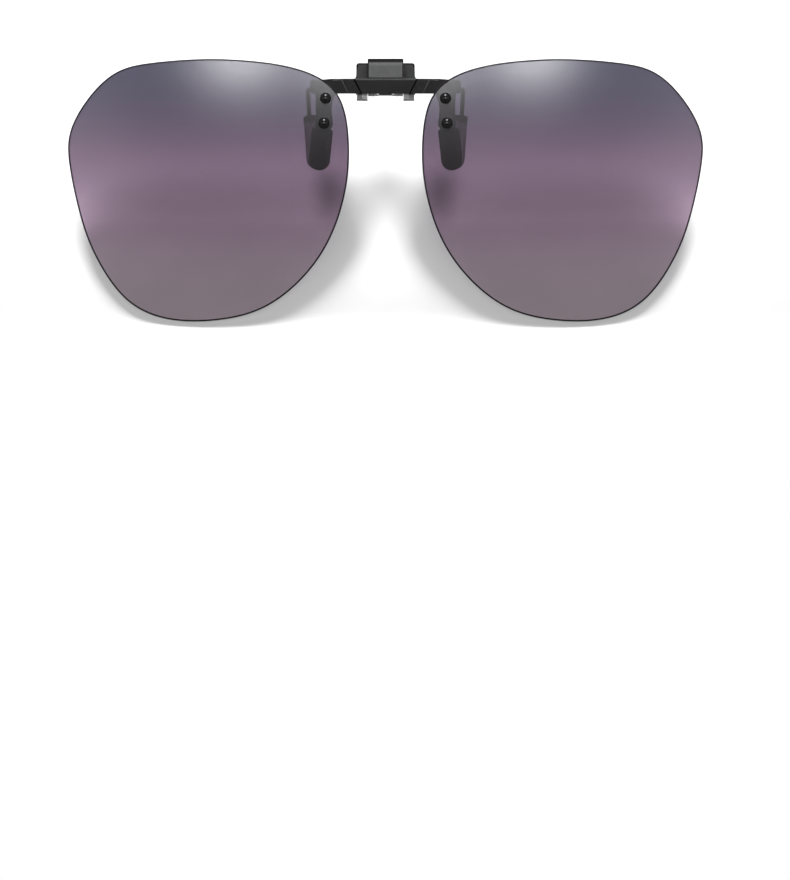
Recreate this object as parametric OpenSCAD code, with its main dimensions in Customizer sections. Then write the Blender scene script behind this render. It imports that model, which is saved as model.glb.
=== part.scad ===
// Flip-up clip-on sunglasses, as worn: X across the face, -Y to the front, +Z up.
// Origin: middle of the grip, where the closed pads meet and hold the host spectacles.

/* [Lenses] */
// Thickness of a lens
lens_t = 1.1; // [0.8:0.1:1.4]
// Radius of the lens's spherical front surface
lens_r = 260; // [180:10:400]
// Distance from the centre line to the crown of a lens's surface
lens_crown_x = 22; // [18:1:28]
// Height of the crown of a lens's surface below the clamp pin
lens_crown_drop = 10; // [6:1:16]

/* [Bridge] */
// Height of the bridge bar
bar_h = 3.36; // [2.8:0.02:3.6]
// Thickness of the rivet legs and the arms
leg_t = 0.9; // [0.6:0.1:1.2]
// Width of the rolled knuckle on top of the bar
knuckle_w = 8; // [7.4:0.1:8]
// Outer radius of the rolled knuckle
knuckle_r = 1.5; // [1.4:0.05:1.6]

/* [Rivets] */
// Diameter of a rivet's domed head
rivet_head_d = 2.5; // [2:0.1:3]
// Height of a rivet's domed head
rivet_head_h = 0.9; // [0.6:0.1:1]
// Diameter of a rivet's shank
rivet_shank_d = 1; // [0.8:0.1:1.2]

/* [Clip] */
// Height of the clamp pin above the middle of the grip
pin_z = 15.5; // [14.5:0.5:17]
// Diameter of the clamp pin
clamp_pin_d = 1.2; // [1:0.1:1.3]
// Diameter of the flip pin
flip_pin_d = 1; // [0.8:0.1:1.1]
// Diameter of the spring's wire
spring_wire_d = 0.36; // [0.3:0.02:0.4]
// Width of the thumb tab
tab_w = 13.1; // [12:0.1:14]
// Angle at which the thumb tab leans back
tab_lean = 18; // [12:1:20]
// Diameter of the rear jaw's wires
wire_d = 0.95; // [0.8:0.05:1.1]

/* [Pads] */
// Width of a rubber pad
pad_w = 4.8; // [4:0.1:5.2]
// Thickness of a rubber pad
pad_t = 2.2; // [1.8:0.1:2.4]
// Length of a front pad
front_pad_l = 9.35; // [8:0.05:9.5]
// Length of a rear pad
rear_pad_l = 12.2; // [11:0.1:12.5]

/* [Hidden] */
$fn = 48;
fit = 0.05;     // radial clearance of a pin that turns in its bore
seat = 0.05;    // how far a flat rivet head or flange beds into the curved lens
inset = 0.06;   // how far one sheet's edge ends inside the sheet that it joins
over = 1;       // how far a cutting tool runs past what it cuts

// Depths. Both pin axes are near one plane behind the lenses.
pin_y = -2.5;             // clamp pin
lens_front_y = -6.7;      // front of a lens beside its rivets
bar_front_y = -6.1;       // flat centre facet of the bar
bar_back_y = -4.45;       // back of the bar and of the rivet legs
leg_y = bar_back_y - leg_t;  // front of the rivet legs
jaw_front_y = -4.1;       // front jaw plate, front face
jaw_back_y = -3.4;        // front jaw plate, rear face
jaw_t = jaw_back_y - jaw_front_y;
flip_y = pin_y - 0.1;     // flip pin

ear_split = 5.25;         // the rear jaw's ears end here, just inside the front jaw's
post_w = 2.6;             // width of the clip's post between the knuckle's cheeks
bush_wall = 0.28;         // thickness of a bush's sleeve
bush_flange = 0.35;       // how far a bush's flange stands out past its sleeve

// Heights above the clamp pin, written as offsets so that the clip reads round its own pin
bar_bottom = -0.56;
bar_top = bar_bottom + bar_h;
knuckle_top = 7.3;
flip_z = pin_z + knuckle_top - knuckle_r;
upper_rivet = [13.4, -1.6];
lower_rivet = [13.75, -7.15];
rivet_spots = [upper_rivet, lower_rivet];

// Lens outline: control points of a closed cubic spline, mm from the centre line and the pin
lens_outline = [
    [8.4, -21.8], [7.8, -11.8], [9.4, 0.8], [19.6, 5.6], [31, 7], [41, 7.4], [53.6, 6.4], [62.2, 4.6],
    [71.2, -7.4], [71.4, -15.2], [68.4, -28.8], [65.4, -37], [58.6, -47.8], [48.8, -51.8], [37.2, -51.6],
    [26.8, -49.2], [17.8, -41.8], [11.8, -33]
];
outline_steps = 7;

// One point of a closed uniform cubic B-spline: span i, position t from 0 to 1
function spline_point(p, i, t) =
    let (n = len(p), a = p[(i + n - 1) % n], b = p[i], c = p[(i + 1) % n], d = p[(i + 2) % n])
    (pow(1 - t, 3) * a + (3 * pow(t, 3) - 6 * t * t + 4) * b
        + (3 * t + 3 * t * t - 3 * pow(t, 3) + 1) * c + pow(t, 3) * d) / 6;

function spline(p, steps) = [for (i = [0:len(p) - 1], k = [0:steps - 1]) spline_point(p, i, k / steps)];

// Points along an arc about c, from angle a0 to a1
function arc(c, r, a0, a1, n = 8) =
    [for (k = [0:n]) let (a = a0 + (a1 - a0) * k / n) c + r * [cos(a), sin(a)]];

// A 2D shape in X and Z, extruded in Y from y0 to y1
module along_y(y0, y1) {
    translate([0, y1, 0]) rotate([90, 0, 0]) linear_extrude(y1 - y0) children();
}

// A 2D shape in Y and Z, extruded in X from x0 to x1
module along_x(x0, x1) {
    translate([x0, 0, 0]) rotate([90, 0, 90]) linear_extrude(x1 - x0) children();
}

// A rod along X and a rod along Y
module rod_x(x0, x1, r) {
    translate([x0, 0, 0]) rotate([0, 90, 0]) cylinder(h = x1 - x0, r = r);
}

module rod_y(y0, y1, r) {
    translate([0, y1, 0]) rotate([90, 0, 0]) cylinder(h = y1 - y0, r = r);
}

// A closed skin over rings that all have the same number of points, which run
// anticlockwise as seen from the last ring's end
module loft(rings) {
    n = len(rings[0]);
    m = len(rings);
    points = [for (ring = rings) each ring];
    walls = [for (k = [0:m - 2], i = [0:n - 1]) each [
        [k * n + i, (k + 1) * n + i, k * n + (i + 1) % n],
        [k * n + (i + 1) % n, (k + 1) * n + i, (k + 1) * n + (i + 1) % n]]];
    first = [for (i = [0:n - 1]) i];
    last = [for (i = [n - 1:-1:0]) (m - 1) * n + i];
    polyhedron(points, concat([first], walls, [last]));
}

// Ring of a round wire at p, square to the direction d
function wire_ring(p, d, r, n) =
    let (u = d / norm(d), side = abs(u[0]) > 0.9 ? [0, 1, 0] : [1, 0, 0],
        v = cross(u, side) / norm(cross(u, side)), w = cross(u, v))
    [for (i = [0:n - 1]) p + r * (v * cos(360 * i / n) + w * sin(360 * i / n))];

// A round wire of radius r with n sides along a path
module tube(path, r, n) {
    last = len(path) - 1;
    loft([for (k = [0:last]) wire_ring(path[k], path[min(k + 1, last)] - path[max(k - 1, 0)], r, n)]);
}

// The clamp pin's axis as the local origin, and the flip pin's
module at_clamp() { translate([0, pin_y, pin_z]) children(); }
module at_flip() { translate([0, flip_y, flip_z]) children(); }
module raised() { translate([0, 0, pin_z]) children(); }
module both_sides() {
    children();
    mirror([1, 0, 0]) children();
}

// ---- Lenses ----

// How far the front surface lies in front of its ball's centre, at a point in X and Z
function lens_reach(p) =
    sqrt(pow(lens_r, 2) - pow(p[0] - lens_crown_x, 2) - pow(p[1] + lens_crown_drop, 2));

// Depth of the front surface there: it passes through lens_front_y at the upper rivet
function lens_y(p) = lens_front_y + lens_reach(upper_rivet) - lens_reach(p);

// Ball whose surface is a lens's front, or, made smaller by t, its back
module lens_ball(t) {
    translate([lens_crown_x, lens_front_y + lens_reach(upper_rivet), -lens_crown_drop])
        sphere(r = lens_r - t, $fn = 200);
}

module lens() {
    raised() difference() {
        intersection() {
            along_y(lens_front_y - over, lens_front_y + 9) polygon(spline(lens_outline, outline_steps));
            lens_ball(0);
        }
        lens_ball(lens_t);
        for (p = rivet_spots) translate([p[0], 0, p[1]])
            rod_y(lens_front_y - over, lens_front_y + lens_t + over, bush_r());
    }
}

module lens_left() { color([0.45, 0.38, 0.45, 0.8]) mirror([1, 0, 0]) lens(); }
module lens_right() { color([0.45, 0.38, 0.45, 0.8]) lens(); }

// ---- Rivets and their bushes ----

function bush_r() = rivet_shank_d / 2 + bush_wall;

// Domed heads on the lens, shanks through to the back of the leg
module rivets() {
    base_r = rivet_head_d / 2;
    dome_r = (base_r * base_r + rivet_head_h * rivet_head_h) / (2 * rivet_head_h);
    raised() for (p = rivet_spots) translate([p[0], lens_y(p), p[1]]) {
        intersection() {
            translate([0, dome_r - rivet_head_h, 0]) sphere(r = dome_r);
            rod_y(-rivet_head_h - over, seat, base_r);
        }
        rod_y(0, bar_back_y - lens_y(p), rivet_shank_d / 2);
    }
}

// Top-hat bushes: a sleeve in the lens's hole and a flange between the lens and the leg
module bushes() {
    raised() for (p = rivet_spots) translate([p[0], 0, p[1]]) difference() {
        union() {
            rod_y(lens_y(p) + 2 * seat, leg_y, bush_r());
            rod_y(lens_y(p) + lens_t - seat, leg_y, bush_r() + bush_flange);
        }
        rod_y(lens_front_y - over, leg_y + over, rivet_shank_d / 2);
    }
}

module lens_rivets_left() { color("black") mirror([1, 0, 0]) rivets(); }
module lens_rivets_right() { color("black") rivets(); }
module lens_bushes_left() { color("white") mirror([1, 0, 0]) bushes(); }
module lens_bushes_right() { color("white") bushes(); }

// ---- Bridge: faceted bar, rolled knuckle, arms and rivet legs ----

// Four corners of the bar's section, x at the top and at the bottom edge
function bar_ring(x_top, x_bottom, front) = [
    [x_top, front, bar_top], [x_bottom, front, bar_bottom],
    [x_bottom, bar_back_y, bar_bottom], [x_top, bar_back_y, bar_top]];

module bar_half() {
    loft([
        bar_ring(-over, -over, bar_front_y),
        bar_ring(7.1, 5.4, bar_front_y),
        bar_ring(9.95, 8.25, bar_front_y + 0.6),
        bar_ring(12.2, 11.6, leg_y)]);
}

module leg_half() {
    end_r = 2;
    outline = concat([[11.4, bar_top], [14.2, bar_top - 0.2], [15.1, bar_top - 1], [15.25, -1.6],
        [15.35, -4.2]], arc(lower_rivet, end_r, 15, -195, 24), [[12.1, -4.4], [11.85, -2.4], [11.2, bar_bottom]]);
    along_y(leg_y, bar_back_y) difference() {
        polygon(outline);
        for (p = rivet_spots) translate(p) circle(r = rivet_shank_d / 2);
    }
}

// The sheet that rises from the bar, wraps round the flip pin and hides the clip's post
module knuckle() {
    half = knuckle_w / 2;
    drop = flip_z - pin_z;
    sheet = [[-1.46, 0.35], [-2.75, bar_top - drop], [-3.4, bar_bottom + 1 - drop],
        [-1.85, bar_bottom + 1 - drop], [-1.8, bar_top - drop + 0.1], [-0.3, 0]];
    post_room_w = 3.1;
    difference() {
        union() {
            at_flip() along_x(-half, half) polygon(sheet);
            at_flip() rod_x(-half, half, knuckle_r);
        }
        at_flip() rod_x(-half - over, half + over, flip_pin_d / 2);
        at_flip() rod_x(-post_room_w / 2, post_room_w / 2, 1.1);
        at_flip() along_x(-post_room_w / 2, post_room_w / 2)
            polygon([[-1.08, 0], [-1.75, -2.6], [-1.75, -3.4], [3, -3.4], [3, 0.3], [0, 0.3]]);
    }
}

module bridge() {
    color([0.14, 0.14, 0.15]) {
        raised() both_sides() {
            bar_half();
            leg_half();
        }
        knuckle();
    }
}

// ---- Flip pin and its spring washers ----

module flip_pin() {
    color("silver") at_flip() rod_x(-knuckle_w / 2 + 0.1, knuckle_w / 2 - 0.1, flip_pin_d / 2);
}

module flip_washer() {
    color("silver") at_flip() difference() {
        rod_x(post_w / 2 + 0.03, post_w / 2 + 0.23, 0.85);
        rod_x(1, 2, flip_pin_d / 2 + fit);
    }
}

module flip_washer_left() { mirror([1, 0, 0]) flip_washer(); }
module flip_washer_right() { flip_washer(); }

// ---- Front jaw: plate with ears, post and two legs ----

// Section of a leg's core at depth y and height z
function core_ring(x, y, z, w) = [
    [x - w / 2, y, z], [x - w / 2, y + jaw_t, z], [x + w / 2, y + jaw_t, z], [x + w / 2, y, z]];

// The leg hangs behind the rivet leg, bends back to the grip and ends inside the pad
module front_leg() {
    raised() loft([
        core_ring(14, jaw_front_y, 0, 3.4),
        core_ring(14, jaw_front_y, -4.5, 3.2),
        core_ring(14.1, -2.6, -8.6, 2.8),
        core_ring(14.95, -1.72, -15.6, 2.2)]);
}

// Side view of an ear round the clamp pin, and the slope at its lower rear corner
module ear_profile(front) {
    polygon([[front, -1.8], [front + 0.3, -2.15], [0.9, -2.15], [2, -0.8], [2, 0.3], [1, 1.1], [front, 1.1]]);
}

module post_profile() {
    drop = flip_z - pin_z;
    polygon([[-1.6, 1.4], [-1.6, 2.4], [-0.93, 4.6], [-0.93, drop - 0.1], [0.75, drop - 0.1],
        [-0.1, 4.4], [-0.9, 2.1], [-0.9, 1.4]]);
}

module front_jaw() {
    plate_top = 2.4;
    color([0.55, 0.55, 0.57]) difference() {
        union() {
            raised() along_y(jaw_front_y, jaw_back_y) difference() {
                translate([-15.6, -0.5]) square([31.2, plate_top + 0.5]);
                translate([-ear_split - 0.1, -over]) square([2 * ear_split + 0.2, over + 1.4]);
            }
            raised() along_y(jaw_front_y, jaw_back_y) translate([-1.4, -1]) square([2.8, 3]);
            both_sides() at_clamp() along_x(ear_split + fit, 6.45) ear_profile(jaw_front_y - pin_y);
            at_clamp() along_x(-post_w / 2, post_w / 2) post_profile();
            at_flip() rod_x(-post_w / 2, post_w / 2, 0.95);
            both_sides() front_leg();
        }
        at_clamp() rod_x(-7, 7, clamp_pin_d / 2);
        at_flip() rod_x(-2, 2, flip_pin_d / 2 + fit);
    }
}

// ---- Clamp pin ----

module clamp_pin() {
    color("silver") at_clamp() {
        rod_x(-6.7, 6.7, clamp_pin_d / 2);
        both_sides() rod_x(6.45, 6.7, 0.85);
    }
}

// ---- Rear jaw: forked thumb tab, cross bar and inner ears ----

module rear_jaw() {
    bar_t = 0.9;
    half = tab_w / 2;
    corner = 0.6;
    lean_from = 2.4;
    tip = 4.25;
    prong_in = knuckle_w / 2 + fit;     // the prongs pass close beside the bridge's knuckle
    color([0.2, 0.2, 0.21]) difference() {
        union() {
            at_clamp() both_sides() {
                along_y(0, bar_t) polygon([[-over, 1.35], [7.1, 1.35], [7.1, -0.1], [7.5, -0.5],
                    [16.45, -0.5], [16.85, -0.1], [16.85, 2.1], [16.45, 2.5], [7.6, 2.6],
                    [half + 0.3, 2.8], [4.4, 2.8], [4.15, 2.3], [-over, 2.3]]);
                translate([0, inset, lean_from]) rotate([-tab_lean, 0, 0]) along_y(0, bar_t - 2 * inset)
                    polygon(concat([[prong_in, -0.5], [half + 0.9, -0.5], [half + 0.9, 0.15], [half + 0.3, 0.5],
                        [half, 1.2]], arc([half - corner, tip - corner], corner, 0, 90), [[prong_in, tip]]));
                along_x(prong_in, ear_split) polygon(concat([[-0.8, -2.15], [0.9, -2.15], [2, -0.8], [2, 0.3],
                    [bar_t - inset, 1.6], [bar_t - inset, 1.9], [inset, 1.9]],
                    arc([0, 0], 1.25, 90, 190), [[-1.1, -1.8]]));
            }
        }
        at_clamp() rod_x(-7, 7, clamp_pin_d / 2 + fit);
    }
}

// Control points of a rear wire: out of the cross bar, back, down and into the top of the pad
wire_route = [[14.8, -2.05, 0.6], [15.8, -2.05, 0.6], [16.8, -1.9, 0.5], [17.3, -0.6, 0.3], [17.4, 1.2, -0.1],
    [17.3, 1.7, -1.6], [17.25, 2.4, -3.4], [17.15, 3.3, -5.2], [16.95, 3.3, -6.8], [16.7, 3, -8.4]];

module wire() {
    path = [for (i = [1:len(wire_route) - 3], k = [0:3]) spline_point(wire_route, i, k / 4)];
    raised() tube(path, wire_d / 2, 12);
}

module rear_wire_left() { color("silver") mirror([1, 0, 0]) wire(); }
module rear_wire_right() { color("silver") wire(); }

// ---- Rubber pads ----

// A flat tongue with a round lower end, hung from the middle of its top edge
module pad(length) {
    r = pad_w / 2;
    translate([0, 0, r - length]) rod_y(-pad_t / 2, pad_t / 2, r);
    translate([-r, -pad_t / 2, r - length]) cube([pad_w, pad_t, length - r]);
}

module front_pad() {
    color([0.12, 0.12, 0.12]) difference() {
        raised() translate([14.1, -2.3, -8.4]) rotate([6.3, -6, 0]) pad(front_pad_l);
        front_leg();
    }
}

module rear_pad() {
    color([0.2, 0.2, 0.2]) difference() {
        raised() translate([16.1, 3.5, -5.4]) rotate([-11.2, 4, 0]) pad(rear_pad_l);
        wire();
    }
}

module front_pad_left() { mirror([1, 0, 0]) front_pad(); }
module front_pad_right() { front_pad(); }
module rear_pad_left() { mirror([1, 0, 0]) rear_pad(); }
module rear_pad_right() { rear_pad(); }

// ---- Torsion spring: two coils on the clamp pin, one cross piece and two end legs ----

coil_r = 1;
coil_turns = 4.2;
coil_start = 2.1;
coil_pitch = 0.4;
coil_steps = 20;

// Wire centre of one half, from the cross piece to the tip of the end leg
function spring_half() = concat(
    [[0, -0.7, -0.8], [1.3, -0.7, -0.8], [1.8, -0.6, -0.9]],
    [for (k = [0:coil_turns * coil_steps]) let (a = 250 - 360 * k / coil_steps)
        [coil_start + coil_pitch * k / coil_steps, coil_r * cos(a), coil_r * sin(a)]],
    [[3.78, -0.9, 0.55], [3.78, -0.62, 1.15], [3.78, -0.3, 1.9]]);

module torsion_spring() {
    color("silver") at_clamp() both_sides() tube(spring_half(), spring_wire_d / 2, 8);
}

bridge();
lens_left();
lens_right();
lens_rivets_left();
lens_rivets_right();
lens_bushes_left();
lens_bushes_right();
flip_pin();
flip_washer_left();
flip_washer_right();
front_jaw();
front_pad_left();
front_pad_right();
clamp_pin();
rear_jaw();
rear_wire_left();
rear_wire_right();
rear_pad_left();
rear_pad_right();
torsion_spring();
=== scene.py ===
import math

import bmesh
import bpy
from mathutils import Matrix, Vector
from mathutils.geometry import delaunay_2d_cdt


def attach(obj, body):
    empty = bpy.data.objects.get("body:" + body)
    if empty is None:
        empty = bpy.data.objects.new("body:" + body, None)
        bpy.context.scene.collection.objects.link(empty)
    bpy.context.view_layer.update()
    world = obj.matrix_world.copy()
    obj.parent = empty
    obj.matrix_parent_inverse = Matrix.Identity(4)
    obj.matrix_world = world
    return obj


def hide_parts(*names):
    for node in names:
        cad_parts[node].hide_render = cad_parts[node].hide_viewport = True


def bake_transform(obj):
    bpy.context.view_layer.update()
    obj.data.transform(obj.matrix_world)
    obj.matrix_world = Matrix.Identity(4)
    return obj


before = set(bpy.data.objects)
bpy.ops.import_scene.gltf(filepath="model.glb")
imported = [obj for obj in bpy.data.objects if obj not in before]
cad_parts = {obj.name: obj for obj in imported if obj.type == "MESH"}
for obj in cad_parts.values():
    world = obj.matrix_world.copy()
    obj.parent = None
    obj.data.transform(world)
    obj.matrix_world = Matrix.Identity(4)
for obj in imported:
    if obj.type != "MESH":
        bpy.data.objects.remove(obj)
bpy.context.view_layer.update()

scene = bpy.context.scene
MM = 0.001

# ---------------------------------------------------------------- sizes
# In mm, as in the CAD source, but for RIVET_H: the domes are 0.01 lower, to stay inside the CAD box.
# A height called w is above the clamp pin. Points are (x, w) or (x, y, w), for the right-hand side.
PIN_Y, PIN_Z = -2.5, 15.5
FLIP_Y, FLIP_Z = -2.6, 21.3
LEG_Y, BAR_BACK_Y = -5.35, -4.45
LENS_FRONT_Y, LENS_T, LENS_R = -6.7, 1.1, 260.0
LENS_CROWN = (22.0, -10.0)
UPPER_RIVET, LOWER_RIVET = (13.4, -1.6), (13.75, -7.15)
RIVETS = (UPPER_RIVET, LOWER_RIVET)
RIVET_R, RIVET_H, SHANK_R, BUSH_R = 1.25, 0.89, 0.5, 0.78
HOLE_R = BUSH_R + 0.02
# Control points of uniform B-splines: the lens outline is closed, and the wire's route is open
LENS_OUTLINE = [
    (8.4, -21.8), (7.8, -11.8), (9.4, 0.8), (19.6, 5.6), (31, 7), (41, 7.4), (53.6, 6.4), (62.2, 4.6),
    (71.2, -7.4), (71.4, -15.2), (68.4, -28.8), (65.4, -37), (58.6, -47.8), (48.8, -51.8), (37.2, -51.6),
    (26.8, -49.2), (17.8, -41.8), (11.8, -33),
]
WIRE_ROUTE = [
    (14.8, -2.05, 0.6), (15.8, -2.05, 0.6), (16.8, -1.9, 0.5), (17.3, -0.6, 0.3), (17.4, 1.2, -0.1),
    (17.3, 1.7, -1.6), (17.25, 2.4, -3.4), (17.15, 3.3, -5.2), (16.95, 3.3, -6.8), (16.7, 3, -8.4),
]
SIDES = (("left", -1), ("right", 1))


# ---------------------------------------------------------------- node material helper
class Tree:
    """Short calls for building one material's or the world's nodes."""

    def __init__(self, tree):
        self.tree = tree
        tree.nodes.clear()

    def add(self, kind, out=0, settings=None, **values):
        """An output, by name or number, of a new node. Its inputs go by name, or by number as i0, i1, i2."""
        node = self.tree.nodes.new(kind)
        for key, value in (settings or {}).items():
            setattr(node, key, value)
        for key, value in values.items():
            name = key.replace("_", " ")
            socket = node.inputs[int(key[1:])] if key[0] == "i" and key[1:].isdigit() else node.inputs[name]
            self.put(socket, value)
        return node.outputs[out]

    def put(self, socket, value):
        if isinstance(value, bpy.types.NodeSocket):
            self.tree.links.new(value, socket)
        else:
            socket.default_value = value

    def math(self, operation, a, b=0.0, clamp=False):
        return self.add("ShaderNodeMath", settings={"operation": operation, "use_clamp": clamp}, i0=a, i1=b)

    def noise(self, where, scale, detail=3.0, rough=0.5):
        return self.add("ShaderNodeTexNoise", Vector=where, Scale=scale, Detail=detail, Roughness=rough)

    def span(self, value, lo, hi, out_lo, out_hi):
        """Maps lo..hi to out_lo..out_hi, held at the ends."""
        node = self.tree.nodes.new("ShaderNodeMapRange")
        for socket, v in zip(node.inputs, (value, lo, hi, out_lo, out_hi)):
            self.put(socket, v)
        return node.outputs[0]

    def blend(self, factor, a, b):
        node = self.tree.nodes.new("ShaderNodeMix")
        node.data_type = "RGBA"
        self.put(node.inputs[0], factor)
        self.put(node.inputs[6], a)
        self.put(node.inputs[7], b)
        return node.outputs[2]

    def place(self):
        return self.add("ShaderNodeTexCoord", out="Object")

    def mark(self, name):
        """What face_mark wrote on the faces, 0 where there is no such mark."""
        return self.add("ShaderNodeAttribute", out="Fac", settings={"attribute_name": name})

    def measure(self, operation, **vectors):
        """The number that a vector operation gives, such as LENGTH or DOT_PRODUCT."""
        return self.add("ShaderNodeVectorMath", out="Value", settings={"operation": operation}, **vectors)

    def stretched(self, where, scale):
        return self.add("ShaderNodeMapping", Vector=where, Scale=scale)

    def bump(self, height, strength, distance):
        return self.add("ShaderNodeBump", Height=height, Strength=strength, Distance=distance)

    def output(self, shader, kind="ShaderNodeOutputMaterial"):
        self.tree.links.new(shader, self.tree.nodes.new(kind).inputs[0])


def new_material(name):
    material = bpy.data.materials.new(name)
    material.use_nodes = True
    return material, Tree(material.node_tree)


def grey(v, tint=(1, 1, 1)):
    return (v * tint[0], v * tint[1], v * tint[2], 1)


def paint(name, base, worn_and_highlight, rough, grain_scale, grain, mirror):
    """Sprayed black finish: fine grain, uneven gloss and worn rims, with painted light: side facets painted
    pale, painted highlights on crest lines and painted shade in creases. base is the grey of the body, the
    second grey serves both the worn rims and the painted highlights, and mirror is the specular level."""
    material, t = new_material(name)
    where = t.place()
    cloud = t.noise(where, 420.0)
    fleck = t.noise(where, grain_scale, 2.0)
    scuffs = t.noise(where, 1500.0)
    painted_shade = t.mark("painted_shade")
    body = t.blend(t.span(cloud, 0.3, 0.7, 0.0, 1.0), grey(base * 0.8), grey(base * 1.25, (0.97, 1, 1.04)))
    # Marked side facets are painted pale as painted light, marked crest lines carry a painted highlight, and
    # marked creases carry painted shade with a dimmer mirror image; only the rim mark is wear.
    coats = (
        (t.span(fleck, 0.56, 0.7, 0.0, 0.5), base * 2.4),
        (t.math("MULTIPLY", t.mark("facet"), t.span(scuffs, 0.35, 0.65, 0.5, 1.0)), base * 5.2),
        (t.math("MULTIPLY", t.mark("rim"), t.span(scuffs, 0.4, 0.65, 0.0, 0.35)), worn_and_highlight),
        (t.math("MULTIPLY", t.mark("painted_highlight"), t.span(scuffs, 0.3, 0.6, 0.7, 1.0)), worn_and_highlight),
        (painted_shade, base * 0.2),
    )
    for share, level in coats:
        body = t.blend(share, body, grey(level))
    gloss = t.span(cloud, 0.3, 0.7, rough - 0.05, rough + 0.06)
    shader = t.add(
        "ShaderNodeBsdfPrincipled", Base_Color=body, IOR=1.5, Normal=t.bump(fleck, grain, 0.00002),
        Roughness=t.math("ADD", gloss, t.math("MULTIPLY", painted_shade, 0.3)),
        Specular_IOR_Level=t.span(painted_shade, 0.0, 1.0, mirror, mirror * 0.1))
    t.output(shader)
    return material


def steel(name, base, rough, along):
    """Bare metal with drawing lines and small stains. along squeezes the lines' noise on each axis."""
    material, t = new_material(name)
    where = t.place()
    lines = t.noise(t.stretched(where, along), 900.0, 4.0)
    stain = t.noise(where, 700.0, 4.0, 0.6)
    body = t.blend(t.span(stain, 0.35, 0.65, 0.0, 1.0), grey(base * 0.82), grey(base * 1.1))
    body = t.blend(t.span(lines, 0.4, 0.75, 0.0, 0.5), body, grey(base * 1.3))
    body = t.blend(t.math("MULTIPLY", t.mark("rim"), 0.45), body, grey(min(base * 1.5, 0.9)))
    shader = t.add(
        "ShaderNodeBsdfPrincipled", Base_Color=body, Metallic=1.0,
        Roughness=t.span(t.math("ADD", stain, lines), 0.7, 1.3, rough - 0.06, rough + 0.1),
        Normal=t.bump(lines, 0.25, 0.00002))
    t.output(shader)
    return material


def silicone(name, base, rough, density, passes):
    """Smoky moulded silicone: lets the share passes through face on, and is dense where it is seen edge on
    and in its collar."""
    material, t = new_material(name)
    where = t.place()
    mottle = t.noise(where, 500.0, 4.0, 0.6)
    skin = t.noise(where, 7000.0, 3.0)
    body = t.blend(t.span(mottle, 0.35, 0.65, 0.0, 1.0), grey(base * 0.8), grey(base * 1.25))
    solid = t.add(
        "ShaderNodeBsdfPrincipled", Base_Color=body, IOR=1.42,
        Roughness=t.span(mottle, 0.3, 0.7, rough - 0.08, rough + 0.1), Normal=t.bump(skin, 0.3, 0.00003))
    clear = t.add("ShaderNodeBsdfTransparent", Color=grey(passes, (1, 0.97, 1)))
    edge_on = t.add("ShaderNodeLayerWeight", out="Facing", Blend=0.3)
    share = t.math("ADD", t.span(mottle, 0.3, 0.7, density - 0.04, density + 0.04), edge_on)
    share = t.math("ADD", share, t.math("MULTIPLY", t.mark("collar"), 0.35), clamp=True)
    t.output(t.add("ShaderNodeMixShader", i0=share, i1=clear, i2=solid))
    return material


def rivet_enamel():
    """Glossy black enamel with faint orange peel."""
    material, t = new_material("gloss_black")
    where = t.place()
    peel = t.noise(where, 1600.0, 2.0)
    cloud = t.noise(where, 3000.0, 3.0)
    shader = t.add(
        "ShaderNodeBsdfPrincipled", Base_Color=t.blend(cloud, grey(0.001), grey(0.003)), IOR=1.5,
        Roughness=t.span(cloud, 0.3, 0.7, 0.07, 0.13), Normal=t.bump(peel, 0.12, 0.00004))
    t.output(shader)
    return material


def nylon():
    """Milky moulded nylon."""
    material, t = new_material("milky_nylon")
    where = t.place()
    cloud = t.noise(where, 1800.0, 3.0)
    shader = t.add(
        "ShaderNodeBsdfPrincipled", Base_Color=t.blend(cloud, grey(0.62), grey(0.78)), IOR=1.53,
        Roughness=t.span(cloud, 0.3, 0.7, 0.32, 0.46), Normal=t.bump(cloud, 0.15, 0.00003),
        Subsurface_Weight=0.3, Subsurface_Scale=0.0005)
    t.output(shader)
    return material


LENS_IOR = 1.5
# Tint of one lens surface by height above the clamp pin, linear: the light's share that passes
TINT = [
    (-52.0, (0.76, 0.705, 0.735)), (-38.0, (0.755, 0.691, 0.74)), (-29.0, (0.73, 0.612, 0.72)),
    (-25.0, (0.555, 0.467, 0.547)), (-21.0, (0.458, 0.378, 0.459)), (-17.0, (0.407, 0.334, 0.406)),
    (-12.5, (0.354, 0.287, 0.36)), (-8.0, (0.298, 0.255, 0.323)), (0.0, (0.236, 0.228, 0.284)),
    (7.5, (0.237, 0.237, 0.29)),
]


def lens_tint(t, where):
    """The tint at this place, from TINT by way of a smooth colour ramp."""
    height = t.add("ShaderNodeSeparateXYZ", out="Z", Vector=where)
    low, high = TINT[0][0], TINT[-1][0]
    share = t.span(height, (low + PIN_Z) * MM, (high + PIN_Z) * MM, 0.0, 1.0)
    ramp_node = t.tree.nodes.new("ShaderNodeValToRGB")
    ramp = ramp_node.color_ramp
    ramp.interpolation = "B_SPLINE"
    while len(ramp.elements) < len(TINT):
        ramp.elements.new(0.5)
    for element, (w, _) in zip(ramp.elements, TINT):
        element.position = (w - low) / (high - low)
    for element, (_, colour) in zip(ramp.elements, TINT):
        element.color = (*colour, 1)
    t.tree.links.new(share, ramp_node.inputs[0])
    return ramp_node.outputs[0]


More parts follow.
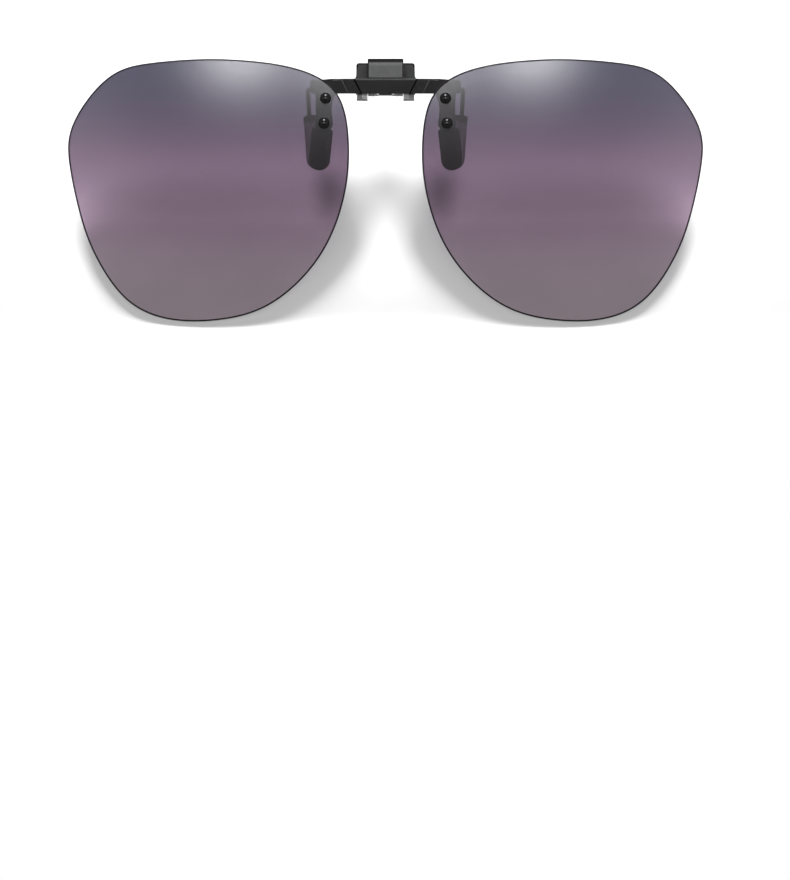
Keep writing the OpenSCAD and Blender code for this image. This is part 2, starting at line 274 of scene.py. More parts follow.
def lens_material():
    """Gradient tinted film: most light passes tinted, some mirrors off the hard coat. The Fresnel node turns
    its index over on back faces, which is undone where they are looked at. Shadow rays keep the turned index,
    because the shadows on the sheet are tuned with it."""
    material, t = new_material("gradient_tint")
    where = t.place()
    haze = t.noise(where, 60.0, 3.0)
    tint = t.blend(t.span(haze, 0.3, 0.7, 0.0, 0.05), lens_tint(t, where), (0.3, 0.27, 0.3, 1))
    through = t.add("ShaderNodeBsdfTransparent", Color=tint)
    coat = t.add(
        "ShaderNodeBsdfPrincipled", Base_Color=(1, 1, 1, 1), Metallic=1.0,
        Roughness=t.span(haze, 0.3, 0.7, 0.03, 0.06))
    inner_side = t.add("ShaderNodeNewGeometry", out="Backfacing")
    in_shadow = t.add("ShaderNodeLightPath", out="Is Shadow Ray")
    seen_inside = t.math("MULTIPLY", inner_side, t.math("SUBTRACT", 1.0, in_shadow))
    fresnel = t.add("ShaderNodeFresnel", IOR=t.span(seen_inside, 0.0, 1.0, LENS_IOR, 1 / LENS_IOR))
    clean = t.add("ShaderNodeMixShader", i0=fresnel, i1=through, i2=coat)
    veil = t.add("ShaderNodeBsdfDiffuse", Color=(0.95, 0.85, 0.95, 1))
    t.output(t.add("ShaderNodeMixShader", i0=t.span(haze, 0.3, 0.7, 0.004, 0.006), i1=clean, i2=veil))
    return material


def rim_material():
    """Ground edge of a lens: nearly black, since little light gets out of the plate there."""
    material, t = new_material("lens_edge")
    where = t.place()
    grind = t.noise(t.stretched(where, (1, 6, 1)), 2500.0, 3.0)
    through = t.add("ShaderNodeBsdfTransparent", Color=(0.03, 0.025, 0.03, 1))
    edge = t.add(
        "ShaderNodeBsdfPrincipled", IOR=LENS_IOR, Specular_IOR_Level=0.3,
        Base_Color=t.blend(grind, (0.004, 0.003, 0.005, 1), (0.012, 0.01, 0.014, 1)),
        Roughness=t.span(grind, 0.3, 0.7, 0.2, 0.4), Normal=t.bump(grind, 0.2, 0.00002))
    t.output(t.add("ShaderNodeMixShader", i0=0.8, i1=through, i2=edge))
    return material


BAR_PAINT = paint("satin_black", 0.002, 0.026, 0.36, 9000.0, 0.12, 0.17)
BLOCK_PAINT = paint("satin_block", 0.019, 0.045, 0.3, 9000.0, 0.12, 0.4)
TAB_COAT = paint("textured_tab", 0.009, 0.03, 0.5, 5200.0, 0.6, 0.3)
JAW_STEEL = steel("jaw_steel_finish", 0.11, 0.38, (1, 1, 8))
# A paler copy of the jaw steel for the ears: painted light, since the ears are the same steel as the jaws
EAR_STEEL_PAINTED_LIGHT = steel("ear_steel_painted_light", 0.42, 0.36, (1, 1, 8))
PIN_STEEL = steel("bright_steel_finish", 0.6, 0.24, (0.2, 3, 3))
WIRE_STEEL = steel("wire_steel_finish", 0.2, 0.34, (3, 3, 0.3))
FRONT_SILICONE = silicone("front_silicone", 0.03, 0.45, 0.75, 0.75)
REAR_SILICONE = silicone("rear_silicone", 0.04, 0.4, 0.42, 0.85)
ENAMEL = rivet_enamel()
NYLON = nylon()
LENS_FILM = lens_material()
LENS_EDGE = rim_material()


# ---------------------------------------------------------------- mesh helpers, working in mm
def face_mark(bm, name):
    """The layer of a face mark, which the materials read by its name."""
    return bm.faces.layers.float.get(name) or bm.faces.layers.float.new(name)


def soften(bm, width, segments=2, angle=24.0, mark="rim", pick=None, shortest=0.12):
    """Bevels the edges that pick accepts, if they turn by more than angle degrees and are longer than
    shortest, and marks the new faces."""
    layer = face_mark(bm, mark)
    edges = [
        e for e in bm.edges
        if len(e.link_faces) == 2 and e.calc_face_angle(0) > math.radians(angle)
        and e.calc_length() > shortest and (pick is None or pick(e))
    ]
    made = bmesh.ops.bevel(
        bm, geom=edges, offset=width, segments=segments, profile=0.5, affect="EDGES", clamp_overlap=False)
    for f in made["faces"]:
        f[layer] = 1.0


def finish_piece(bm, name, body, nodes, materials, smooth=32.0, weighted=True):
    """Turns a mesh in mm into a piece that rides on a body and stands for CAD nodes."""
    bmesh.ops.recalc_face_normals(bm, faces=bm.faces)
    for v in bm.verts:
        v.co *= MM
    mesh = bpy.data.meshes.new(name)
    bm.to_mesh(mesh)
    bm.free()
    for m in materials:
        mesh.materials.append(m)
    mesh.polygons.foreach_set("use_smooth", [True] * len(mesh.polygons))
    mesh.set_sharp_from_angle(angle=math.radians(smooth))
    piece = bpy.data.objects.new(name, mesh)
    scene.collection.objects.link(piece)
    if weighted:
        piece.modifiers.new("normals", "WEIGHTED_NORMAL").keep_sharp = True
    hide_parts(*nodes)
    if body:
        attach(piece, body)
    return piece


def cad_mesh(node):
    """The CAD node's own surface in mm, with its flat faces whole again."""
    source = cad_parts[node].data
    bm = bmesh.new()
    verts = [bm.verts.new(v.co / MM) for v in source.vertices]
    for p in source.polygons:
        bm.faces.new([verts[i] for i in p.vertices])
    bmesh.ops.remove_doubles(bm, verts=bm.verts, dist=0.002)
    bmesh.ops.dissolve_limit(bm, angle_limit=math.radians(0.6), verts=bm.verts, edges=bm.edges)
    return bm


def prism(outline, lo, hi):
    """A closed solid over an outline in X and Z, from y lo to y hi."""
    bm = bmesh.new()
    rings = [[bm.verts.new((x, y, z)) for x, z in outline] for y in (lo, hi)]
    bm.faces.new(rings[0])
    bm.faces.new(rings[1][::-1])
    for i in range(len(outline)):
        j = (i + 1) % len(outline)
        bm.faces.new((rings[0][j], rings[0][i], rings[1][i], rings[1][j]))
    return bm


def ring_wall(bm, a, b, closed=True):
    """Quads between two rows of as many vertices."""
    faces = []
    for i in range(len(a) if closed else len(a) - 1):
        j = (i + 1) % len(a)
        faces.append(bm.faces.new((a[i], a[j], b[j], b[i])))
    return faces


def round_angles(sides):
    return [2 * math.pi * i / sides for i in range(sides)]


def lathe(bm, profile, origin, axis, sides=40, closed=False):
    """Turns a profile of (distance along the axis, radius) round an axis through origin."""
    u = Vector((0, 1, 0)) if axis == "x" else Vector((1, 0, 0))
    v = Vector((0, 0, 1))
    along = Vector((1, 0, 0)) if axis == "x" else Vector((0, 1, 0))
    rings = []
    for t, r in profile:
        centre = Vector(origin) + along * t
        if r < 1e-6:
            rings.append([bm.verts.new(centre)])
            continue
        turn = round_angles(sides)
        rings.append([bm.verts.new(centre + u * (r * math.cos(a)) + v * (r * math.sin(a))) for a in turn])
    for a, b in zip(rings, rings[1:] + (rings[:1] if closed else [])):
        if len(a) == 1 or len(b) == 1:
            tip, ring = (a[0], b) if len(a) == 1 else (b[0], a)
            for i in range(len(ring)):
                bm.faces.new((tip, ring[i], ring[(i + 1) % len(ring)]))
        else:
            ring_wall(bm, a, b)


def spline_point(points, i, t):
    """The point at share t of span i of a closed uniform cubic B-spline."""
    n = len(points)
    a, b, c, d = (Vector(points[(i + k) % n]) for k in (-1, 0, 1, 2))
    weights = ((1 - t) ** 3, 3 * t ** 3 - 6 * t * t + 4, 3 * t + 3 * t * t - 3 * t ** 3 + 1, t ** 3)
    return (a * weights[0] + b * weights[1] + c * weights[2] + d * weights[3]) / 6


def sweep(bm, path, radius, sides=20):
    """A round wire with rounded ends along a path, turned as little as possible."""
    path = [Vector(p) for p in path]
    end = len(path) - 1
    heading = [(path[min(k + 1, end)] - path[max(k - 1, 0)]).normalized() for k in range(end + 1)]
    side = heading[0].orthogonal().normalized()
    stations = []
    for p, d in zip(path, heading):
        side = (side - d * side.dot(d)).normalized()
        stations.append((p, d, side, radius))

    def cap(station, way, angles):
        p, d, s, r = station
        return [(p + d * (way * r) * math.sin(a), d, s, r * math.cos(a)) for a in map(math.radians, angles)]

    turn = round_angles(sides)
    rings = []
    for p, d, s, r in cap(stations[0], -1, (65, 40, 18)) + stations + cap(stations[-1], 1, (18, 40, 65)):
        other = d.cross(s)
        rings.append([bm.verts.new(p + s * (r * math.cos(a)) + other * (r * math.sin(a))) for a in turn])
    for a, b in zip(rings, rings[1:]):
        ring_wall(bm, a, b)
    bm.faces.new(rings[0][::-1])
    bm.faces.new(rings[-1])


# ---------------------------------------------------------------- lenses
def lens_reach(x, w, r):
    """How far a ball of radius r, centred behind the lens crown, stands forward at this place."""
    return math.sqrt(r * r - (x - LENS_CROWN[0]) ** 2 - (w - LENS_CROWN[1]) ** 2)


def lens_y(x, w, depth=0.0):
    """Depth of the surface that lies this far inside the front one, on the same ball."""
    return LENS_FRONT_Y + lens_reach(*UPPER_RIVET, LENS_R) - lens_reach(x, w, LENS_R - depth)


def inset_loop(loop, by):
    """The loop moved inwards; it runs clockwise as seen from the front."""
    n = len(loop)
    out = []
    for i, p in enumerate(loop):
        d = (loop[(i + 1) % n] - loop[i - 1]).normalized()
        out.append(p + Vector((d.y, -d.x)) * by)
    return out


def inside(p, loop):
    """Even-odd test of a point against a closed loop."""
    hit = False
    for a, b in zip(loop, loop[1:] + loop[:1]):
        if (a.y > p.y) != (b.y > p.y) and p.x < a.x + (p.y - a.y) * (b.x - a.x) / (b.y - a.y):
            hit = not hit
    return hit


def clear_of_holes(p, reach):
    return all((p - Vector(c)).length > reach for c in RIVETS)


def lens_loop():
    """The outline, clockwise as seen from the front and 0.01 mm inside the CAD's."""
    steps = 14
    spans = range(len(LENS_OUTLINE))
    loop = [spline_point(LENS_OUTLINE, i, k / steps) for i in spans for k in range(steps)]
    if sum(a.x * b.y - b.x * a.y for a, b in zip(loop, loop[1:] + loop[:1])) > 0:
        loop.reverse()
    return inset_loop(loop, 0.01)


def lattice(loop, taken):
    """A triangular lattice of points inside the loop, clear of the points already taken and of the holes."""
    step = 1.7
    points = []
    row = 0
    w = -53.0
    while w < 8:
        x = 8.0 + (step / 2 if row % 2 else 0)
        while x < 72:
            p = Vector((x, w))
            if min((p - q).length for q in taken) > step / 2 and inside(p, loop):
                if clear_of_holes(p, BUSH_R + 0.5):
                    points.append(p)
            x += step
        w += step * 0.866
        row += 1
    return points


def lens_piece(label, side):
    """Front and back surface from one triangulation, joined by a three-part edge and by the holes' walls."""
    loop = lens_loop()
    front_edge, back_edge = inset_loop(loop, 0.36), inset_loop(loop, 0.12)
    turn = [Vector((math.cos(a), math.sin(a))) for a in round_angles(32)]
    holes = [[Vector(c) + d * HOLE_R for d in turn] for c in RIVETS]
    points, edges, loops = [], [], []
    for ring in (front_edge, *holes):
        first, count = len(points), len(ring)
        points += ring
        loops.append(range(first, first + count))
        edges += [(first + i, first + (i + 1) % count) for i in range(count)]
    points += lattice(front_edge, points[:])
    flat, _, triangles, origin, _, _ = delaunay_2d_cdt(points, edges, [], 1, 1e-6)
    keep = []
    for tri in triangles:
        mid = sum((flat[i] for i in tri), Vector((0, 0))) / 3
        if inside(mid, front_edge) and clear_of_holes(mid, HOLE_R):
            keep.append(tri)
    index = {old: new for new, olds in enumerate(origin) for old in olds}
    back_of = {index[i]: p for i, p in zip(loops[0], back_edge)}
    bm = bmesh.new()
    front, back = {}, {}
    for i in sorted({i for tri in keep for i in tri}):
        p, q = flat[i], back_of.get(i, flat[i])
        front[i] = bm.verts.new((side * p.x, lens_y(p.x, p.y), p.y + PIN_Z))
        back[i] = bm.verts.new((side * q.x, lens_y(q.x, q.y, LENS_T), q.y + PIN_Z))
    for a, b, c in keep:
        bm.faces.new((front[a], front[b], front[c]))
        bm.faces.new((back[c], back[b], back[a]))
    for ring in loops[1:]:
        ring_wall(bm, [front[index[i]] for i in ring], [back[index[i]] for i in ring])
    outer = [
        [bm.verts.new((side * p.x, lens_y(p.x, p.y) + d, p.y + PIN_Z)) for p in loop]
        for d in (0.16, LENS_T - 0.1)
    ]
    rings = [[front[index[i]] for i in loops[0]], *outer, [back[index[i]] for i in loops[0]]]
    for a, b in zip(rings, rings[1:]):
        for f in ring_wall(bm, a, b):
            f.material_index = 1
    finish_piece(
        bm, f"lens_{label}_film", "lens_frame", [f"lens_{label}"], [LENS_FILM, LENS_EDGE],
        smooth=20.0, weighted=False)


# ---------------------------------------------------------------- rivets, bushes, pins and washers
def rivets_piece(label, side):
    """Domed heads on plain shanks, with a small round where the dome meets its rim."""
    bm = bmesh.new()
    ball = (RIVET_R ** 2 + RIVET_H ** 2) / (2 * RIVET_H)
    widest = math.asin((RIVET_R - 0.02) / ball)
    for x, w in RIVETS:
        at = lens_y(x, w)
        dome = [(ball - RIVET_H - ball * math.cos(a), ball * math.sin(a))
                for a in (widest * (1 - k / 12) for k in range(1, 12))]
        tail = BAR_BACK_Y - at
        profile = [(tail, 0), (tail, SHANK_R - 0.12), (tail - 0.08, SHANK_R), (0.04, SHANK_R),
                   (0.04, RIVET_R - 0.08), (0.0, RIVET_R - 0.01), (-0.06, RIVET_R), *dome, (-RIVET_H, 0)]
        lathe(bm, profile, (side * x, at, w + PIN_Z), "y", 48)
    finish_piece(
        bm, f"rivet_domes_{label}", "lens_frame", [f"lens_rivets_{label}"], [ENAMEL],
        smooth=40.0, weighted=False)


def bushes_piece(label, side):
    """Top-hat bushes in the lens holes, with their flanges between lens and leg."""
    bm = bmesh.new()
    flange = BUSH_R + 0.35
    for x, w in RIVETS:
        at = lens_y(x, w)
        end = LEG_Y - at
        seat = LENS_T - 0.02
        profile = [(0.12, SHANK_R), (0.12, BUSH_R - 0.05), (0.17, BUSH_R), (seat, BUSH_R),
                   (seat, flange - 0.04), (seat + 0.04, flange), (end - 0.04, flange), (end, flange - 0.04),
                   (end, SHANK_R)]
        lathe(bm, profile, (side * x, at, w + PIN_Z), "y", 40, closed=True)
    finish_piece(
        bm, f"nylon_bushes_{label}", "lens_frame", [f"lens_bushes_{label}"], [NYLON],
        weighted=False)


def pin_pieces():
    """Both hinges' pins, and the two spring washers on the flip pin."""
    bm = bmesh.new()
    half = 3.9
    lathe(bm, [(-half + 0.08, 0), (-half + 0.03, 0.2), (-half, 0.32), (-half, 0.4), (-half + 0.1, 0.5),
               (half - 0.1, 0.5), (half, 0.4), (half, 0.32), (half - 0.03, 0.2), (half - 0.08, 0)],
          (0, FLIP_Y, FLIP_Z), "x")
    finish_piece(bm, "flip_pin_rod", "lens_frame", ["flip_pin"], [PIN_STEEL])
    bm = bmesh.new()
    end, neck = 6.7, 6.45
    right = [(neck, 0.6), (neck, 0.8), (neck + 0.05, 0.85), (end - 0.12, 0.84), (end - 0.04, 0.72),
             (end, 0.5), (end, 0.22), (end - 0.05, 0.12), (end - 0.06, 0)]
    left = [(-t, r) for t, r in right[::-1]]
    lathe(bm, left + right, (0, PIN_Y, PIN_Z), "x", 44)
    finish_piece(bm, "clamp_pin_rod", "clip", ["clamp_pin"], [PIN_STEEL])
    for label, side in SIDES:
        bm = bmesh.new()
        lathe(bm, [(1.33, 0.57), (1.33, 0.82), (1.37, 0.85), (1.49, 0.85), (1.53, 0.82), (1.53, 0.57)],
              (0, FLIP_Y, FLIP_Z), "x", closed=True)
        for v in bm.verts:
            v.co.x *= side
        finish_piece(
            bm, f"spring_washer_{label}", "lens_frame", [f"flip_washer_{label}"],
            [PIN_STEEL])


# ---------------------------------------------------------------- bridge and jaws, on the CAD surfaces
def edge_test(test):
    """True for an edge if both its ends pass the test, given as (|x|, y, height above the clamp pin)."""
    return lambda e: all(test(abs(v.co.x), v.co.y, v.co.z - PIN_Z) for v in e.verts)


def bridge_piece():
    """The bar with its rolled knuckle: first the lines across and along the bar, which carry painted shade or
    painted highlights, then the knuckle's foot and the rest of its edges, which carry painted shade, then
    every other edge."""
    bm = cad_mesh("bridge")
    facet_lines = edge_test(lambda x, y, w: 5 < x < 12.6 and y < -5.3 and -0.6 < w < 2.85)
    across = lambda e: facet_lines(e) and abs(e.verts[0].co.z - e.verts[1].co.z) > 3
    outer = lambda e: min(abs(v.co.x) for v in e.verts) > 7.8
    # Painted shade on the lines across the bar's inner facets, painted highlights on those across the outer
    # ones
    soften(bm, 0.16, 2, angle=3, mark="painted_shade", pick=lambda e: across(e) and not outer(e))
    soften(bm, 0.12, 2, angle=3, mark="painted_highlight", pick=lambda e: across(e) and outer(e))
    # Painted highlight along the bar's top front edge
    painted_highlight = edge_test(lambda x, y, w: y < -5.25 and w > 2.55 and x < 12.6)
    soften(bm, 0.34, 2, mark="painted_highlight", pick=lambda e: painted_highlight(e) and e.calc_length() > 0.5)
    half = 4
    # Painted shade, as dark outlines, along the knuckle's ends and round its edges
    ends = edge_test(lambda x, y, w: abs(x - half) < 0.01 and w > 2.6 and y < -2)
    soften(bm, 0.2, 2, mark="painted_shade", pick=ends, shortest=0)
    block = edge_test(lambda x, y, w: x < half + 0.05 and w > 2.9 and y < -2)
    soften(bm, 0.24, 3, angle=28, mark="painted_shade", pick=block, shortest=0.3)
    # Edges that meet at the rear foot of the knuckle run nearly in line, and a bevel there throws out a spike
    at_foot = lambda v: abs(abs(v.co.x) - half) < 0.07 and -4.6 < v.co.y < -4.3 and 2.7 < v.co.z - PIN_Z < 3.1
    soften(bm, 0.09, 2, angle=28, pick=lambda e: not any(at_foot(v) for v in e.verts))
    facet, painted_highlight_mark, painted_shade_mark = (face_mark(bm, mark) for mark in ("facet", "painted_highlight", "painted_shade"))
    # The knuckle's front carries a painted highlight above this height and is painted a little paler below
    # it; its top carries painted shade from where it turns up
    painted_band_height = 5.75
    turned_up, turn_fade = 0.34, 0.16
    bmesh.ops.bisect_plane(
        bm, geom=bm.verts[:] + bm.edges[:] + bm.faces[:], plane_co=(0, 0, PIN_Z + painted_band_height), plane_no=(0, 0, 1))
    bm.normal_update()
    for f in bm.faces:
        centre = f.calc_center_median()
        if centre.z - PIN_Z > 2.78 and abs(centre.x) < half + 0.05:
            f.material_index = 1
            if centre.z - PIN_Z > 3.2 and abs(f.normal.x) < 0.3 and f.normal.y < -0.2:
                f[painted_shade_mark] = min(max((f.normal.z - turned_up) / turn_fade, f[painted_shade_mark]), 1)
                f[painted_highlight_mark] = 0.8 if centre.z - PIN_Z > painted_band_height else 0.26
        # The bar's side facets are painted pale: painted light
        elif 6.3 < abs(centre.x) < 9 and centre.y < -5.1 and f.calc_area() > 3:
            f[facet] = 1.0
    finish_piece(bm, "bridge_bar", "lens_frame", ["bridge"], [BAR_PAINT, BLOCK_PAINT])


def close_up(bm, at, to):
    """Moves the faces that lie at |x| = at to |x| = to, so that no light shows through a running gap."""
    for v in bm.verts:
        if abs(abs(v.co.x) - at) < 0.01:
            v.co.x = math.copysign(to, v.co.x)


def paint_light_on_ears(bm, material):
    """Gives the ears round the clamp pin a paler copy of the steel: painted light for how the light falls on
    them.
    """
    for f in bm.faces:
        centre = f.calc_center_median()
        if centre.z - PIN_Z < -0.3 and 4 < abs(centre.x) < 6.5 and abs(centre.y - PIN_Y) < 3.4:
            f.material_index = material


def jaw_pieces():
    """Both jaws. Edges on the closed-up faces stay sharp, or light would show along them."""
    front_ear, rear_ear, prong = 5.255, 5.25, 4.005
    bm = cad_mesh("front_jaw")
    close_up(bm, 5.3, front_ear)
    facing = edge_test(lambda x, y, w: abs(x - front_ear) < 0.01)
    soften(bm, 0.09, 2, angle=28, pick=lambda e: not facing(e))
    paint_light_on_ears(bm, 1)
    finish_piece(bm, "front_jaw_plate", "clip", ["front_jaw"], [JAW_STEEL, EAR_STEEL_PAINTED_LIGHT])
    bm = cad_mesh("rear_jaw")
    close_up(bm, 4.05, prong)
    facing = edge_test(lambda x, y, w: x < prong + 0.005 or abs(x - rear_ear) < 0.01 and w < 2.5)
    # Painted shade, as a dark outline, along the edges of the thumb tab's prongs
    border = edge_test(lambda x, y, w: 3.9 < x < 7.2 and w > 3.2)
    soften(bm, 0.42, 3, angle=28, mark="painted_shade", pick=lambda e: border(e) and not facing(e), shortest=0.05)
    soften(bm, 0.1, 2, angle=28, pick=lambda e: not facing(e))
    for f in bm.faces:
        centre = f.calc_center_median()
        if centre.z - PIN_Z > 2.62 and abs(centre.x) < 7.4:
            f.material_index = 1
    paint_light_on_ears(bm, 2)
    finish_piece(
        bm, "rear_jaw_plate", "rear_jaw", ["rear_jaw"], [JAW_STEEL, TAB_COAT, EAR_STEEL_PAINTED_LIGHT])


# ---------------------------------------------------------------- wires, pads and spring
def wire_pieces():
    """Bent wires along WIRE_ROUTE. Its first and last points only steer the ends."""
    steps, radius = 8, 0.475
    spans = range(1, len(WIRE_ROUTE) - 2)
    path = [spline_point(WIRE_ROUTE, i, k / steps) for i in spans for k in range(steps)]
    for label, side in SIDES:
        bm = bmesh.new()
        sweep(bm, [(side * p.x, p.y, p.z + PIN_Z) for p in path], radius, 24)
        finish_piece(
            bm, f"rear_wire_rod_{label}", "rear_jaw", [f"rear_wire_{label}"], [WIRE_STEEL],
            smooth=60.0, weighted=False)


def pad_mesh(length, waist):
    """A moulded tongue hung from its top edge: round lower end, soft rims, open mouth at the top.
    waist says how much its middle is drawn in below the collar."""
    half, thick, corner = 2.39, 1.09, 0.55
    low = half - length
    outline = []
    for a in range(0, 181, 6):
        rad = math.radians(180 + a)
        outline.append((half * math.cos(rad), low + half * math.sin(rad)))
    outline += [(half, low + (-corner - low) * k / 11) for k in range(1, 12)]
    for a in range(15, 91, 15):
        rad = math.radians(a)
        outline.append((half - corner + corner * math.cos(rad), -corner + corner * math.sin(rad)))
    outline += [(-x, z) for x, z in outline[::-1] if z > low + 1e-6]
    bm = prism(outline, -thick, thick)
    bm.normal_update()
    soften(bm, 0.5, 5, angle=60)
    faces = [f for f in bm.faces if abs(f.normal.y) > 0.99 and f.calc_area() > 5]
    for f in faces:
        out = f.normal.copy()
        for thickness, lift in ((0.45, 0.008), (0.6, 0.004)):
            bmesh.ops.inset_individual(bm, faces=[f], thickness=thickness, depth=0)
            for v in f.verts:
                v.co += out * lift
    collar = 1.75
    dense = face_mark(bm, "collar")
    for f in bm.faces:
        f[dense] = 1.0 if -f.calc_center_median().z < collar else 0.0
    for v in bm.verts:
        drawn = waist * min(max((-v.co.z - collar) / 0.35, 0), 1)
        v.co.y *= 1 - drawn
        v.co.x *= 1 - drawn * 0.35
    bm.normal_update()
    top = max((f for f in bm.faces if f.normal.z > 0.9), key=lambda f: f.calc_area())
    bmesh.ops.inset_individual(bm, faces=[top], thickness=0.12, depth=0)
    bmesh.ops.inset_individual(bm, faces=[top], thickness=0.04, depth=-0.35)
    return bm


def place_mesh(bm, origin, turn_x, turn_y, side):
    """Turns the mesh as the CAD does, moves it to its place and mirrors it for the left side."""
    turn = Matrix.Rotation(math.radians(turn_y), 4, "Y") @ Matrix.Rotation(math.radians(turn_x), 4, "X")
    for v in bm.verts:
        p = turn @ v.co + Vector(origin)
        v.co = (side * p.x, p.y, p.z + PIN_Z)


def pad_pieces():
    """Short pads on the front jaw's legs and longer, waisted ones on the rear wires."""
    for label, side in SIDES:
        bm = pad_mesh(9.35, 0.0)
        place_mesh(bm, (14.1, -2.3, -8.4), 6.3, -6, side)
        finish_piece(
            bm, f"front_pad_sleeve_{label}", "clip", [f"front_pad_{label}"], [FRONT_SILICONE],
            smooth=50.0)
        bm = pad_mesh(12.2, 0.09)
        place_mesh(bm, (16.1, 3.5, -5.4), -11.2, 4, side)
        finish_piece(
            bm, f"rear_pad_sleeve_{label}", "rear_jaw", [f"rear_pad_{label}"], [REAR_SILICONE],
            smooth=50.0)


def spring_pieces():
    """Two coils on the clamp pin, between the clip and the rear jaw; the real ones wind up as the clip opens,
    but these ride on no body and keep their shape.
    """
    start, pitch, steps, turns, radius, wire = 2.1, 0.4, 36, 4.2, 1.0, 0.18
    path = [(0, -0.7, -0.8), (0.6, -0.7, -0.8), (1.15, -0.7, -0.8), (1.5, -0.68, -0.82), (1.8, -0.6, -0.9)]
    for k in range(int(turns * steps) + 1):
        a = math.radians(250 - 360 * k / steps)
        path.append((start + pitch * k / steps, radius * math.cos(a), radius * math.sin(a)))
    path += [
        (3.78, -0.97, 0.3), (3.78, -0.9, 0.55), (3.78, -0.77, 0.86), (3.78, -0.62, 1.15), (3.78, -0.3, 1.88)]
    for label, side in SIDES:
        bm = bmesh.new()
        sweep(bm, [(side * x, y + PIN_Y, z + PIN_Z) for x, y, z in path], wire, 14)
        spring = finish_piece(
            bm, f"torsion_coil_{label}", None, ["torsion_spring"], [PIN_STEEL],
            smooth=60.0, weighted=False)
        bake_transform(spring)


for label, side in SIDES:
    lens_piece(label, side)
    rivets_piece(label, side)
    bushes_piece(label, side)
pin_pieces()
bridge_piece()
jaw_pieces()
wire_pieces()
pad_pieces()
spring_pieces()


# ---------------------------------------------------------------- stage, light and camera
def bend(t, softness):
    """A corner rounded off: 0 well below zero, t well above it."""
    return max(t, 0) + softness * math.log1p(math.exp(-abs(t) / softness))


def sheet_y(x, z):
    """Depth of the pale sheet in mm: floor in front, upright behind the lower rims, leaning back higher up,
    bulged a little between the lenses."""
    foot, lean = -36.6, -24.5
    upright = 0.07 * bend(z - foot, 0.7) - bend(foot - z, 0.7)
    return -2.15 + upright + 0.47 * bend(z - lean, 3.0) + x * x / 1800


def card_material():
    """White board, faintly fibrous. It shows from the front only and fades out towards its edge."""
    glow = 0.26
    material, t = new_material("pale_card")
    where = t.place()
    centred = t.add("ShaderNodeMapping", Vector=where, Location=(0, 0, 0.012), Scale=(0.77, 0.0, 1.0))
    far = t.measure("LENGTH", i0=centred)
    open_share = t.span(far, 0.062, 0.095, 0.0, 1.0)
    behind = t.add("ShaderNodeNewGeometry", out="Backfacing")
    share = t.math("MAXIMUM", open_share, behind)
    fibre = t.noise(where, 260.0)
    white = t.add(
        "ShaderNodeBsdfPrincipled", Base_Color=t.blend(fibre, grey(0.44), grey(0.46)), Roughness=0.9,
        Specular_IOR_Level=0.0, Emission_Color=(1, 1, 1, 1), Emission_Strength=glow)
    clear = t.add("ShaderNodeBsdfTransparent")
    t.output(t.add("ShaderNodeMixShader", i0=share, i1=white, i2=clear))
    return material


def card_half(label, side, material):
    """One half of the pale sheet close behind the object, which takes its soft shadows."""
    bm = bmesh.new()
    columns, rows, half, low, high = 32, 180, 130.0, -116.0, 92.0
    grid = []
    for j in range(rows + 1):
        z = low + (high - low) * j / rows
        across = [side * half * i / columns for i in range(columns + 1)]
        grid.append([bm.verts.new((x * MM, sheet_y(x, z) * MM, z * MM)) for x in across])
    for a, b in zip(grid, grid[1:]):
        ring_wall(bm, a, b, closed=False)
    bm.normal_update()
    bmesh.ops.reverse_faces(bm, faces=[f for f in bm.faces if f.normal.y > 0])
    for f in bm.faces:
        f.smooth = True
    mesh = bpy.data.meshes.new(f"pale_card_{label}")
    bm.to_mesh(mesh)
    bm.free()
    mesh.materials.append(material)
    card = bpy.data.objects.new(f"pale_card_{label}", mesh)
    scene.collection.objects.link(card)
    card.visible_diffuse = False
    card.visible_glossy = False
    card.visible_transmission = False
    card.visible_volume_scatter = False
    card.visible_shadow = False
    return card


def direction(azimuth, elevation):
    """Unit vector towards these degrees, counted from straight ahead of the object."""
    a, e = math.radians(azimuth), math.radians(elevation)
    return (math.sin(a) * math.cos(e), -math.cos(a) * math.cos(e), math.sin(e))


# Soft boxes in the surroundings: azimuth, elevation, spread in degrees, brightness
SOFT_BOXES = [
    (5.7, 10.5, 3.3, 13.0), (-5.7, 10.5, 3.3, 13.0), (0, 9, 7, 1.2), (28, 0, 8, 1.5), (-28, 0, 8, 1.5),
    (0, 60, 6, 8.0),
]
# Brightness of the room by how far ahead a direction looks, from straight behind to straight at the camera
ROOM = [(-1.0, 0.22), (-0.5, 0.18), (0.0, 0.35), (0.5, 0.3), (0.85, 0.09), (1.0, 0.08)]


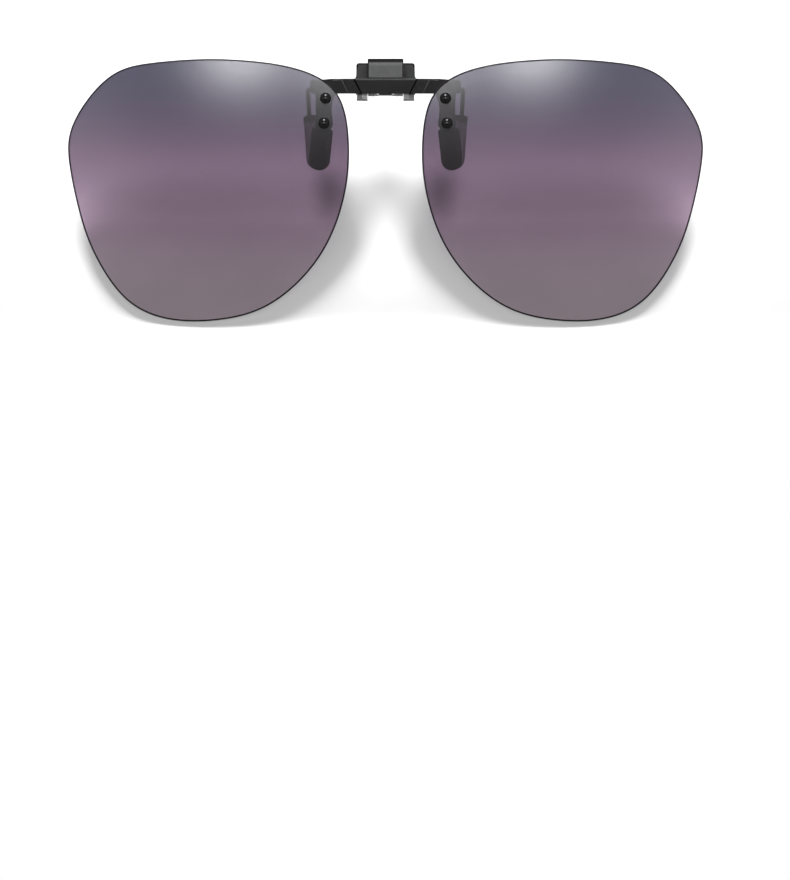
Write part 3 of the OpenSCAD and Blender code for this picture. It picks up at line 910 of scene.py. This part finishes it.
def surroundings():
    """The room and its soft boxes as light and mirror image; the camera itself sees plain white."""
    world = bpy.data.worlds.new("soft_studio")
    scene.world = world
    world.use_nodes = True
    t = Tree(world.node_tree)
    where = t.add("ShaderNodeTexCoord", out="Generated")
    ahead = t.measure("DOT_PRODUCT", i0=where, i1=(0, -1, 0))
    room = t.tree.nodes.new("ShaderNodeValToRGB")
    ramp = room.color_ramp
    while len(ramp.elements) < len(ROOM):
        ramp.elements.new(0.5)
    for element, (at, _) in zip(ramp.elements, ROOM):
        element.position = at / 2 + 0.5
    for element, (_, bright) in zip(ramp.elements, ROOM):
        element.color = grey(bright)
    t.tree.links.new(t.span(ahead, -1.0, 1.0, 0.0, 1.0), room.inputs[0])
    total = room.outputs[0]
    for azimuth, elevation, spread, strength in SOFT_BOXES:
        towards = t.measure("DOT_PRODUCT", i0=where, i1=direction(azimuth, elevation))
        sharp = 1 / math.radians(spread) ** 2
        lobe = t.math("EXPONENT", t.math("MULTIPLY", t.math("SUBTRACT", towards, 1.0), sharp))
        total = t.math("ADD", total, t.math("MULTIPLY", lobe, strength))
    seen = t.add("ShaderNodeLightPath", out="Is Camera Ray")
    lit = t.add("ShaderNodeBackground", Color=(1, 1, 1, 1), Strength=total)
    shown = t.add("ShaderNodeBackground", Color=(1, 1, 1, 1), Strength=1.0)
    t.output(t.add("ShaderNodeMixShader", i0=seen, i1=lit, i2=shown), "ShaderNodeOutputWorld")


def lamp(name, at, aim, size, spread, watts, linked, state, glossy=False):
    """A soft lamp that lights only the linked objects (INCLUDE) or everything else (EXCLUDE). glossy says
    whether its mirror image shows."""
    data = bpy.data.lights.new(name, "AREA")
    data.shape = "DISK"
    data.size = size
    data.energy = watts
    data.spread = math.radians(spread)
    light = bpy.data.objects.new(name, data)
    light.location = at
    light.rotation_euler = (Vector(aim) - Vector(at)).to_track_quat("-Z", "Y").to_euler()
    light.visible_glossy = glossy
    scene.collection.objects.link(light)
    group = bpy.data.collections.new(f"{name}_links")
    for item in linked:
        group.objects.link(item)
    for entry in group.collection_objects:
        entry.light_linking.link_state = state
    light.light_linking.receiver_collection = group


def camera():
    """A long lens well in front, looking down a little. frame_height is what it sees there, in metres."""
    frame_height, distance = 0.1968, 2.0
    middle, front, eye_height, aim_height = 0.00212, -0.006, -0.0066, -0.0625
    data = bpy.data.cameras.new("camera")
    data.sensor_width = 36
    data.lens = data.sensor_width * distance / frame_height
    data.clip_start, data.clip_end = 0.05, 20
    view = bpy.data.objects.new("camera", data)
    scene.collection.objects.link(view)
    view.location = (middle, front - distance, eye_height)
    aim = Vector((middle, front, aim_height))
    view.rotation_euler = (aim - view.location).to_track_quat("-Z", "Y").to_euler()
    scene.camera = view


surroundings()
board = card_material()
cards = {side: card_half(label, side, board) for label, side in SIDES}
for label, side in SIDES:
    lamp(
        f"key_{label}", at=(side * 0.09, -0.136, 0.305), aim=(side * 0.04, 0, -0.01), size=0.14, spread=70,
        watts=0.5, linked=[cards[-side]], state="EXCLUDE")
lamp(
    "glint", at=(0, -0.15, 0.37), aim=(0, -0.0075, 0.012), size=0.2, spread=180, watts=1.0,
    linked=[bpy.data.objects[f"rivet_domes_{label}"] for label, _ in SIDES], state="INCLUDE", glossy=True)
camera()
scene.view_settings.view_transform = "Standard"
scene.view_settings.look = "None"
